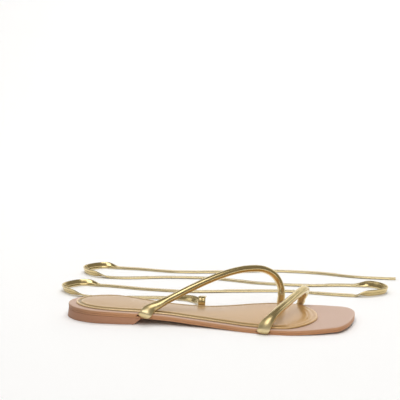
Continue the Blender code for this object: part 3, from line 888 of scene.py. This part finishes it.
# %% Board
# each row: inset, depth below the top, side mark, and a mark of rubbing that along the rounded top corner
# is also a painted highlight
BOARD_PROFILE = (
    (0.0060, 0.0, 0.0, 0.0), (0.0030, 0.0, 0.0, 0.0), (0.0015, 0.00003, 0.0, 0.1),
    (0.0009, 0.00010, 0.0, 0.25), (0.0005, 0.00024, 0.05, 0.5), (0.00022, 0.00045, 0.25, 0.6),
    (0.00007, 0.00075, 0.65, 0.3), (0.0, 0.00110, 0.95, 0.1), (0.0, 0.00160, 1.0, 0.0),
    (0.0, 0.00220, 1.0, 0.0), (0.00004, 0.00260, 1.0, 0.0), (0.00014, 0.00274, 1.0, 0.0),
    (0.0004, 0.00280, 1.0, 0.0), (0.0060, 0.00280, 1.0, 0.0), (0.0098, 0.00280, 1.0, 0.0),
    (0.0135, 0.00280, 1.0, 0.0),
)
board = sole_layer("board_in_nude_leather", sole_ring, BOARD_PROFILE, rim, board_leather,
                   "footbed", board_press)

# %% [markdown]
# The heel is one low block that carries on the sole's edge down to the floor. Its front face, the
# breast, slants back as it goes down. Its rings grow a little longer at the back for the flare.

# %% Rings of the heel
HEEL_BLOCK_LENGTH = 0.0625
BREAST_SLANT = 0.0070
HEEL_FLARE = 0.0012
HEEL_ARC_STEPS = 24
HEEL_SIDE_STEPS = 30
BREAST_STEPS = 20


def heel_ring(part_down):
    """part_down: 0 at the outsole, 1 on the floor."""
    end = share_at(x_at(0.0) + HEEL_BLOCK_LENGTH + BREAST_SLANT * (1.0 - part_down))
    shares = [HEEL_ARC[0] * (1.0 - math.cos(math.pi / 2 * step / HEEL_ARC_STEPS))
              for step in range(HEEL_ARC_STEPS)]
    shares += [float(share) for share in np.linspace(HEEL_ARC[0], end, HEEL_SIDE_STEPS)]
    rows = {"lateral": [], "medial": []}
    for share in shares:
        x = x_at(share) - HEEL_FLARE * part_down * (1.0 - share / end)
        for side, row in rows.items():
            row.append((x, edge_y(share, side)))
    outer, inner = edge_y(end, "lateral"), edge_y(end, "medial")
    breast = [(x_at(end), outer + (inner - outer) * step / BREAST_STEPS)
              for step in range(1, BREAST_STEPS)]
    return rows["lateral"] + breast + rows["medial"][1:][::-1]


print("heel ring has", len(heel_ring(0.0)), "points")

# %% Heel block with broken corners
HEEL_GLUE = 0.1  # share of the layers' gap that is left above the block
# each row: part of the way down, inset, side mark, and a mark towards a third colour; near the floor the
# two marks make the lower corner darker
HEEL_PROFILE = (
    (0.0, 0.00016, 1.0, 0.0), (0.02, 0.0001, 1.0, 0.0), (0.15, 0.0001, 1.0, 0.0),
    (0.35, 0.0001, 1.0, 0.0), (0.55, 0.0001, 1.0, 0.0), (0.75, 0.0001, 1.0, 0.0),
    (0.90, 0.00014, 0.95, 0.3), (0.955, 0.00024, 0.8, 0.6), (0.985, 0.0004, 0.4, 0.8),
    (1.0, 0.0007, 0.1, 0.6), (1.0, 0.0009, 0.0, 0.2),
)


def heel_block():
    points, side, wear_and_highlight = [], [], []
    for down, inset, side_mark, wear_and_highlight_mark in HEEL_PROFILE:
        for x, y in inset_ring(heel_ring(down), inset):
            top = underside(x) - LAYER_GAP * HEEL_GLUE
            points.append(Vector((x, y, top * (1.0 - down))))
            side.append(side_mark)
            wear_and_highlight.append(wear_and_highlight_mark)
    faces = closed_tube(len(HEEL_PROFILE), len(points) // len(HEEL_PROFILE), turned=True)
    return new_piece("heel_block", points, faces, heel_leather, "heel",
                     {"side": side, "wear_and_highlight": wear_and_highlight})


heel = heel_block()

# %% [markdown]
# ## The padded sock
# The sock is thin foam under gold leather. It stops short of the board's edge, ends in an arc ahead
# of the ball and leaves the square toe bare. Its edge is rolled, and a pressed groove, 2 to 4.5 mm
# inside and less than 1 mm deep, keeps the padding from creeping. So the rim reads as a bright line
# beside a darker one, and both are also painted: a painted highlight along the rim and the top's
# edge, and a painted shade in the groove and under the rolled edge. The groove and its painted shade
# run out where the sock nears its front arc.

# %% Outline of the sock
SOCK_MARGIN = 0.0026
SOCK_HEEL_MARGIN = 0.0065
SOCK_LENGTH = 0.2125


def sock_ring():
    start = SOCK_HEEL_MARGIN / SOLE_LENGTH
    end = start + SOCK_LENGTH / SOLE_LENGTH
    arc_start, arc_end = HEEL_ARC[0] / end, SOCK_TOE_ARC[0] / end
    rows = {"lateral": [], "medial": []}
    for part in stations(arc_start, arc_end):
        share = start + part * (end - start)
        for side in rows:
            inward = SOCK_MARGIN if side == "lateral" else -SOCK_MARGIN
            full = edge_y(min(max(share, HEEL_ARC[0]), TOE_ARC[0]), side) + inward
            arc, depth = HEEL_ARC, 1.0 - part / arc_start
            if part > arc_end:
                arc, depth = SOCK_TOE_ARC, (part - arc_end) / (1.0 - arc_end)
            start_y = arc_middle(arc) + middle.y
            rows[side].append((x_at(share), start_y + (full - start_y) * closing(depth, arc[2][side])))
    return rows["lateral"] + rows["medial"][1:-1][::-1]


sock_outline = sock_ring()
print("the sock's outline has", len(sock_outline), "points")

# %% Padded sock with its groove
SOCK_GLUE = 0.7  # share of the layers' gap that is left under the sock
SOCK_CROWN = 0.0004
GROOVE_START = 0.0016
GROOVE_RUN_OUT = 0.72
GROOVE_RUN_OUT_LENGTH = 0.10
FLAT_DEPTH = 0.00030
# each row: inset, depth below the top, a side mark that paints shade in the groove and under the rolled
# edge, and a mark that paints a highlight along the top's edge and the rim
SOCK_PROFILE = (
    (0.0085, 0.0, 0.0, 0.0), (0.0066, 0.00002, 0.0, 0.1), (0.0056, 0.00008, 0.0, 0.4),
    (0.0050, 0.00022, 0.1, 0.4), (0.0045, 0.00048, 0.7, 0.0), (0.0039, 0.00078, 1.0, 0.0),
    (0.0033, 0.00096, 1.0, 0.0), (0.0027, 0.00098, 1.0, 0.0), (0.0023, 0.00082, 0.8, 0.0),
    (0.0019, 0.00054, 0.2, 0.5), (0.0014, 0.00036, 0.0, 0.9), (0.0009, 0.00040, 0.0, 0.9),
    (0.0005, 0.00064, 0.0, 0.8), (0.0002, 0.00100, 0.0, 0.6), (0.0001, 0.00140, 0.2, 0.4),
    (0.0006, 0.00176, 1.0, 0.0), (0.0060, 0.00178, 1.0, 0.0),
)


def sock_top(x):
    return rim(x) + LAYER_GAP * SOCK_GLUE + SOCK_THICKNESS


def groove_kept(point):
    return 1.0 - ease((share_at(point[0]) - GROOVE_RUN_OUT) / GROOVE_RUN_OUT_LENGTH)


def groove_fill(point, inset, depth):
    in_groove = 1.0 if inset > GROOVE_START and depth < SOCK_THICKNESS else 0.0
    return in_groove * max(0.0, depth - FLAT_DEPTH) * (1.0 - groove_kept(point))


sock = sole_layer("padded_gold_sock", sock_outline, SOCK_PROFILE, sock_top, sock_gold,
                  "insole", groove_fill, crown=SOCK_CROWN, keep=groove_kept)

# %% [markdown]
# ## Rolled straps
# Each strap is soft leather rolled over a cord and closed by a seam underneath. Along the foot it
# is round, and towards each end it loses its core and is pressed flat to go over the board's edge
# and under it. The strap's middle line is given in its own leaning plane, as shares of the way
# across and of the strap's rise, and its section changes along the way. The outer ends are wider
# than the inner ones, tilt down towards the toe where they are tucked in, and have round corners.

# %% Sizes and routes of the straps
STRAP_THICKNESS = 0.0063
TAB_THICKNESS = 0.0011
STRAP_SIDES = 36
# rise, width: metres. lean: degrees towards the toe. For each end, flare: how far from the rim the
# strap gets its full shape. slant: metres towards the toe for each metre up the edge. top: how far
# out it stands above the rim. dip: slope of its tucked width. corner: where its lower corners start
# to round, below the rim, and the share of the width that they take.
STRAPS = {
    "instep": {
        "rise": 0.0330, "lean": -10.0, "width": 0.0066,
        "lateral": {"flare": 0.030, "slant": 0.85, "top": 0.0016, "dip": 0.36, "corner": (0.0022, 0.38)},
        "medial": {"flare": 0.008, "slant": 0.10, "top": 0.0021, "dip": 0.0, "corner": (0.0022, 0.38)},
        "route": (
            (0.046, 0.112), (0.084, 0.172), (0.121, 0.228), (0.194, 0.340), (0.342, 0.570),
            (0.491, 0.775), (0.641, 0.933), (0.760, 0.995), (0.866, 0.980), (0.925, 0.905),
            (0.968, 0.790), (0.998, 0.625), (1.013, 0.440), (1.013, 0.240),
        ),
    },
    "toe": {
        "rise": 0.0205, "lean": 28.0, "width": 0.0071,
        "lateral": {"flare": 0.019, "slant": 0.40, "top": 0.0018, "dip": 0.12, "corner": (0.0008, 0.46)},
        "medial": {"flare": 0.007, "slant": 0.75, "top": 0.0022, "dip": 0.0, "corner": (0.0022, 0.38)},
        "route": (
            (0.000, 0.205), (0.042, 0.370), (0.103, 0.520), (0.190, 0.632), (0.325, 0.738),
            (0.465, 0.822), (0.600, 0.897), (0.745, 0.965), (0.880, 0.955), (0.980, 0.790),
            (1.018, 0.550), (1.018, 0.300),
        ),
    },
}
# each pair: how far out from the board's edge and how far up from its underside
WRAP = (
    (-0.0090, 0.0006), (-0.0050, 0.0006), (-0.0018, 0.0006), (-0.0004, 0.0001), (0.0006, -0.0005),
    (0.0014, 0.0002), (0.0019, 0.0013), (0.0020, 0.0024),
)
WRAP_TOP_HEIGHT = 0.0036
print("straps:", ", ".join(STRAPS))

# %% Root of a strap at the board's edge
ROOT_REACH = 0.004
SLANT_START = 0.0008


def root_frame(share, side):
    """Where a strap goes in, and which ways lead along the edge, out from it and up."""
    before, at, after = (Vector((x_at(place), edge_y(place, side), board_underside(x_at(place))))
                         for place in (share - ROOT_REACH, share, share + ROOT_REACH))
    run = (after - before).normalized()
    out = Vector((run.y, -run.x, 0.0)).normalized() * (1.0 if side == "lateral" else -1.0)
    up = run.cross(out)
    up = up if up.z > 0.0 else -up
    return {"at": at, "run": run, "out": out, "up": up.normalized()}


def from_root(root, out, up, slant=0.0):
    """slant: how far towards the toe for each metre that it climbs the edge."""
    ahead = slant * max(up - SLANT_START, 0.0)
    return root["at"] + root["out"] * out + root["up"] * up + root["run"] * ahead


strap_roots = {name: {side: root_frame(share, side) for side, share in ends.items()}
               for name, ends in STRAP_ENDS.items()}
print("strap roots:", {name: list(roots) for name, roots in strap_roots.items()})

# %% Middle line of a strap
LINE_STEPS = 14
END_RINGS = 60
MIDDLE_RINGS = 240


def strap_line(roots, shape):
    """The middle line, the lengths along it, where it passes both rims, and its width's way."""
    rims = {side: from_root(root, 0.0, FOOTBED_THICKNESS) for side, root in roots.items()}
    span = rims["medial"] - rims["lateral"]
    forward = Vector((span.y, -span.x, 0.0)).normalized()
    lean = math.radians(shape["lean"])
    upward = Vector((0.0, 0.0, math.cos(lean))) + forward * math.sin(lean)
    air = [rims["lateral"] + span * across + upward * (up * shape["rise"])
           for across, up in shape["route"]]
    starts = {}
    for side, root in roots.items():
        wrap = (*WRAP, (shape[side]["top"], WRAP_TOP_HEIGHT))
        starts[side] = [from_root(root, out, up, shape[side]["slant"]) for out, up in wrap]
    line = smooth_path([*starts["lateral"], *air, *starts["medial"][::-1]], LINE_STEPS)
    lengths = lengths_along(line)
    turn = len(WRAP) * LINE_STEPS
    return line, lengths, (lengths[turn], lengths[-1 - turn]), span.cross(upward).normalized()


def ring_places(lateral_rim, medial_rim, length):
    """Distances along a strap, closer together where it goes round the board's edge."""
    places = [lateral_rim * step / END_RINGS for step in range(END_RINGS)]
    places += list(np.linspace(lateral_rim, medial_rim, MIDDLE_RINGS))
    places += [medial_rim + (length - medial_rim) * step / END_RINGS
               for step in range(1, END_RINGS + 1)]
    return places


print("a strap has", 2 * END_RINGS + MIDDLE_RINGS, "rings")

# %% Section of a strap along its way
ROUNDING_START = 0.005
ROUNDING_MOST = 0.012
TAB_HEIGHT = 0.0048
TAB_SQUARENESS = 2.2
STRAP_SQUARENESS = 2.05
STRAP_TURN_LENGTH = 0.010
DIP_START = 0.0075
DIP_FADE = 0.003


def strap_section(inside, shape, side):
    """inside: distance past the rim, less than 0 where the strap wraps the board's edge."""
    flare, end_width = shape[side]["flare"], STRAP_END_WIDTHS[side]
    full = ease(inside / flare)
    rounding = clamp((inside + ROUNDING_START) / (ROUNDING_START + min(flare, ROUNDING_MOST)))
    thickness = TAB_THICKNESS + (STRAP_THICKNESS - TAB_THICKNESS) * (1.0 - (1.0 - rounding) ** 2)
    width = end_width + (shape["width"] - end_width) * full
    corner_start, corner_share = shape[side]["corner"]
    corner = clamp((-inside - corner_start) / (TAB_HEIGHT - corner_start))
    width -= corner_share * end_width * (1.0 - math.sqrt(1.0 - corner**2))
    squareness = TAB_SQUARENESS + (STRAP_SQUARENESS - TAB_SQUARENESS) * full
    return width, thickness, squareness, full


def strap_ways(ahead, inside, end, root, width_way):
    """Which ways the strap is wide and thick: along the board's edge first, then across its plane."""
    turned = ease(inside / (end["flare"] + STRAP_TURN_LENGTH))
    dip = end["dip"] * ease((inside + DIP_START) / DIP_FADE)
    tucked = (root["run"] - root["up"] * dip).normalized()
    way = tucked.lerp(width_way, turned)
    inner = ahead.cross(way).normalized()
    return way.lerp(inner.cross(ahead).normalized(), turned).normalized(), inner


def section_part(share, squareness, size):
    return math.copysign(abs(share) ** (2 / squareness), share) * size / 2


print("a strap is", mm(STRAP_THICKNESS), "mm thick, its tabs", mm(TAB_THICKNESS))

# %% [markdown]
# Leather that is rolled by hand swells a little from place to place, puckers where it is gathered
# into its flat end, and sinks in along its seam. All three are small shares of the section's size.

# %% Sweep a rolled strap
SWELL = 0.018
SWELLS_PER_M = 70.0
SWELL_ROUND = 1.3
PUCKER = 0.035
PUCKERS = 5.0
PUCKER_PLACE = 0.004
PUCKER_SPREAD = 0.005
SEAM_DEPTH = 0.05
SEAM_PLACE = 0.75
SEAM_SPREAD = 0.8
RUBBED_TOP = 0.35
RUBBED_RIM = 0.5
RUBBED_RIM_SPREAD = 0.003
PRESSED_START = 0.001
PRESSED_FADE = 0.004


def rolled_strap(name, roots, shape, node, seed):
    line, lengths, (lateral_rim, medial_rim), width_way = strap_line(roots, shape)
    places = ring_places(lateral_rim, medial_rim, lengths[-1])
    path = [point_at(line, lengths, place) for place in places]
    points, wear_and_highlight, pressed = [], [], []
    for index, place in enumerate(places):
        inside = min(place - lateral_rim, medial_rim - place)
        side = "lateral" if place < lengths[-1] / 2 else "medial"
        width, thickness, squareness, full = strap_section(inside, shape, side)
        across, inner = strap_ways(heading(path, index), inside, shape[side], roots[side], width_way)
        pucker = PUCKER * bell(inside - PUCKER_PLACE, PUCKER_SPREAD)
        flat = 1.0 - ease((inside - PRESSED_START) / (shape[side]["flare"] + PRESSED_FADE))
        for corner in range(STRAP_SIDES):
            angle = 2 * math.pi * corner / STRAP_SIDES
            cosine, sine = math.cos(angle), math.sin(angle)
            one = section_part(cosine, squareness, width)
            two = section_part(sine, squareness, thickness)
            there = Vector((place * SWELLS_PER_M, cosine * SWELL_ROUND + seed, sine * SWELL_ROUND))
            swell = 1.0 + SWELL * noise.noise(there)
            swell += pucker * math.sin(angle * PUCKERS + seed)
            seam = SEAM_DEPTH * full * bell(corner - STRAP_SIDES * SEAM_PLACE, SEAM_SPREAD)
            points.append(path[index] + (across * one + inner * two) * (swell - seam))
            wear_and_highlight.append(RUBBED_TOP * max(0.0, sine) * full + RUBBED_RIM * bell(inside, RUBBED_RIM_SPREAD))
            pressed.append(flat)
    faces = closed_tube(len(path), STRAP_SIDES)
    return new_piece(name, points, faces, strap_gold, node,
                     {"wear_and_highlight": wear_and_highlight, "side": pressed})


instep_strap = rolled_strap("rolled_instep_strap", strap_roots["instep"], STRAPS["instep"],
                            "instep_strap", 3.0)
toe_strap = rolled_strap("rolled_toe_strap", strap_roots["toe"], STRAPS["toe"], "toe_strap", 9.0)

# %% [markdown]
# ## Root of the tie
# The tie's fixed end goes in at the inner waist like the straps, comes up beside the board and
# bends over outwards. It has the band's own section, so it runs on into the loose tie.

# %% Path of the tie's root
TIE_ROOT_RISE = 0.0030
TIE_ROOT_BEND = 0.0040
TIE_ROOT_OUT = LAYER_GAP + TIE_THICKNESS / 2
TIE_ROOT_TOP = FOOTBED_THICKNESS + TIE_ROOT_RISE
TIE_BEND_STEPS = 8
TIE_ROOT_STEPS = 6
# each pair: how far out from the board's edge and how far up from its underside
TIE_WRAP = (
    (-0.0090, 0.0006), (-0.0045, 0.0006), (-0.0012, 0.0006), (0.0002, 0.0007),
    (TIE_ROOT_OUT * 0.85, 0.0012), (TIE_ROOT_OUT, 0.0022), (TIE_ROOT_OUT, TIE_ROOT_TOP),
)
tie_root_frame = root_frame(TIE_END, "medial")
root_points = [from_root(tie_root_frame, out, up) for out, up in TIE_WRAP]
for step in range(1, TIE_BEND_STEPS + 1):
    angle = math.pi / 2 * step / TIE_BEND_STEPS
    root_points.append(from_root(tie_root_frame, TIE_ROOT_OUT + TIE_ROOT_BEND * (1.0 - math.cos(angle)),
                                 TIE_ROOT_TOP + TIE_ROOT_BEND * math.sin(angle)))
root_path = smooth_path(root_points, TIE_ROOT_STEPS)
print("gap from the root to the loose tie, mm:", mm((root_path[-1] - tie_path[0]).length))

# %% Root of the tie
THICKENING_STEPS = 18
root_thick = [TAB_THICKNESS + (TIE_THICKNESS - TAB_THICKNESS) * ease(index / THICKENING_STEPS)
              for index in range(len(root_path))]
root_ways = [-tie_root_frame["run"]] * len(root_path)
tie_root = band("tie_root_band", root_path, root_ways, root_thick, "tie_root")

# %% [markdown]
# ## Floor and light
# The sandal stands on a plain pale floor that curves up into a low wall behind it, so no line
# crosses the picture. Metal shows its surroundings, so the lights are large soft boxes. One in front
# and above draws the bright line along the straps, and the dim room between it and the floor leaves
# a dark one. A narrow box at the back right draws the line along the toe strap's middle. The boxes
# that only brighten the leathers or the wall are kept out of the metal's reflections.

# %% Floor
FLOOR_FRONT = -3.0
FLOOR_CURVE_START = 0.9
FLOOR_CURVE_RADIUS = 1.2
FLOOR_CURVE_STEPS = 12
WALL_TOP = 1.8
FLOOR_HALF_WIDTH = 4.0
PAPER_COLOUR = (0.97, 0.975, 0.985, 1.0)


def floor_sheet():
    rows = [(FLOOR_FRONT, 0.0), (FLOOR_CURVE_START, 0.0)]
    for step in range(1, FLOOR_CURVE_STEPS + 1):
        angle = math.pi / 2 * step / FLOOR_CURVE_STEPS
        rows.append((FLOOR_CURVE_START + FLOOR_CURVE_RADIUS * math.sin(angle),
                     FLOOR_CURVE_RADIUS * (1.0 - math.cos(angle))))
    rows.append((FLOOR_CURVE_START + FLOOR_CURVE_RADIUS, WALL_TOP))
    points = [(x, y, z) for y, z in rows for x in (-FLOOR_HALF_WIDTH, FLOOR_HALF_WIDTH)]
    faces = [(2 * i, 2 * i + 1, 2 * i + 3, 2 * i + 2) for i in range(len(rows) - 1)]
    mesh = bpy.data.meshes.new("floor")
    mesh.from_pydata(points, [], faces)
    mesh.shade_smooth()
    sheet = bpy.data.objects.new("floor", mesh)
    paper = bpy.data.materials.new("floor_paper")
    paper.use_nodes = True
    white = paper.node_tree.nodes["Principled BSDF"]
    white.inputs["Base Color"].default_value = PAPER_COLOUR
    white.inputs["Roughness"].default_value = 0.8
    mesh.materials.append(paper)
    bpy.context.scene.collection.objects.link(sheet)
    print("floor sheet has", len(faces), "strips")


floor_sheet()

# %% Lights
# each row: name, place, what it faces, size, watts, whether it shows in shiny surfaces
SOFT_BOXES = (
    ("top_box", (0.0, 0.5, 1.8), (0.0, 0.1, 0.0), (1.8, 1.2), 9.9, False),
    ("front_box", (0.9, -1.5, 0.8), (0.0, 0.0, 0.0), (1.2, 0.8), 1.4, False),
    ("stripe_box", (0.15, -0.80, 1.43), (0.0, 0.0, 0.0), (1.2, 1.45), 12.0, True),
    ("right_box", (1.20, 1.10, 0.95), (0.06, 0.0, 0.015), (0.24, 0.7), 0.5, True),
    ("left_box", (-1.25, -0.1, 1.0), (0.0, 0.0, 0.0), (0.7, 0.8), 1.5, True),
    ("backdrop_box", (0.0, 0.9, 1.9), (0.0, 2.1, 0.5), (3.0, 0.6), 22.5, False),
)
ROOM_COLOUR = (0.86, 0.80, 0.70, 1.0)
ROOM_STRENGTH = 0.27


def soft_box(name, place, aim, size, power, mirrored):
    data = bpy.data.lights.new(name, "AREA")
    data.shape = "RECTANGLE"
    data.size, data.size_y = size
    data.energy = power
    box = bpy.data.objects.new(name, data)
    box.location = place
    box.visible_glossy = mirrored
    box.rotation_euler = (Vector(aim) - Vector(place)).to_track_quat("-Z", "Y").to_euler()
    bpy.context.scene.collection.objects.link(box)


for row in SOFT_BOXES:
    soft_box(*row)
world = bpy.data.worlds.new("studio")
bpy.context.scene.world = world
world.use_nodes = True
room = world.node_tree.nodes["Background"]
room.inputs["Color"].default_value = ROOM_COLOUR
room.inputs["Strength"].default_value = ROOM_STRENGTH
bpy.context.scene.view_settings.view_transform = "Standard"
print("lights:", [row[0] for row in SOFT_BOXES])
